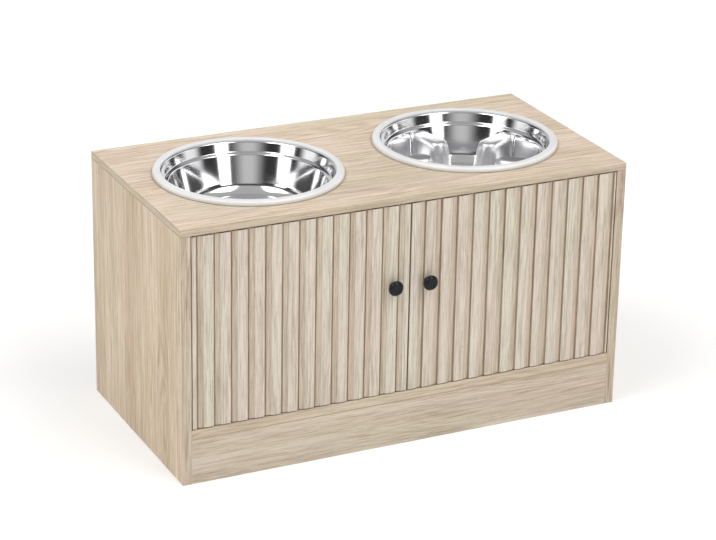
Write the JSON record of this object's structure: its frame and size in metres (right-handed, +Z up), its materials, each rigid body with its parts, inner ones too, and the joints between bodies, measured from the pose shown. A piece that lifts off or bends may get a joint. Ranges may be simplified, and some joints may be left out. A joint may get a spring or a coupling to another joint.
{
  "type": "raised dog feeder with storage",
  "caption": "Raised pet feeding station: a low oak cabinet with two fluted doors under a plain bowl and a slow-feeder bowl that lift out of the top.",
  "frame": {"origin": "on the floor, in the middle of the footprint, knobs included", "axes": "+X to the right seen from the front, +Y from the doors to the back, +Z up"},
  "size_m": [0.6, 0.314, 0.3364],
  "materials": {
    "oak_flat": "light oak laminate, grain along the length",
    "oak_upright": "light oak laminate, grain upright",
    "oak_slats": "light oak laminate on routed slats, grain upright",
    "beech": "bare beech",
    "bowl_steel": "polished stainless steel",
    "ring_silicone": "white silicone, satin",
    "knob_black": "black powder coat, satin",
    "steel": "zinc-plated steel",
    "nylon": "white nylon",
    "magnet": "dark ferrite",
    "zinc": "cast zinc, bright"
  },
  "bodies": {
    "cabinet": {"top_board": "oak_flat", "left_side": "oak_upright", "right_side": "oak_upright", "base_board": "oak_flat", "back_panel": "oak_upright", "front_kick": "oak_flat", "rear_kick": "oak_flat", "left_top_pivot": "steel", "left_bottom_pivot": "steel", "right_top_pivot": "steel", "right_bottom_pivot": "steel", "catch_housing": "nylon", "catch_magnets": "magnet", "catch_screws": "steel", "top_cams": "zinc", "top_cam_bolts": "steel", "base_cams": "zinc", "base_cam_bolts": "steel", "front_dowels": "beech", "rear_dowels": "beech"},
    "left_door_leaf": {"left_door": "oak_slats", "left_knob": "knob_black", "left_knob_screw": "steel", "left_top_bush": "nylon", "left_bottom_bush": "nylon", "left_strike": "steel", "left_strike_screw": "steel"},
    "right_door_leaf": {"right_door": "oak_slats", "right_knob": "knob_black", "right_knob_screw": "steel", "right_top_bush": "nylon", "right_bottom_bush": "nylon", "right_strike": "steel", "right_strike_screw": "steel"},
    "plain_bowl_set": {"plain_bowl": "bowl_steel", "plain_bowl_ring": "ring_silicone"},
    "slow_feeder_set": {"slow_feeder_bowl": "bowl_steel", "slow_feeder_ring": "ring_silicone"}
  },
  "joints": [
    {"name": "left_door_hinge", "type": "hinge", "parent": "cabinet", "child": "left_door_leaf", "pos_m": [-0.2665, -0.1354, 0.196], "axis": [0, 0, -1], "range_deg": [0, 130]},
    {"name": "right_door_hinge", "type": "hinge", "parent": "cabinet", "child": "right_door_leaf", "pos_m": [0.2665, -0.1354, 0.196], "axis": [0, 0, 1], "range_deg": [0, 130]},
    {"name": "plain_bowl_lift", "type": "slide", "parent": "cabinet", "child": "plain_bowl_set", "axis": [0, 0, 1], "range_m": [0, 0.1]},
    {"name": "slow_feeder_lift", "type": "slide", "parent": "cabinet", "child": "slow_feeder_set", "axis": [0, 0, 1], "range_m": [0, 0.1]}
  ]
}
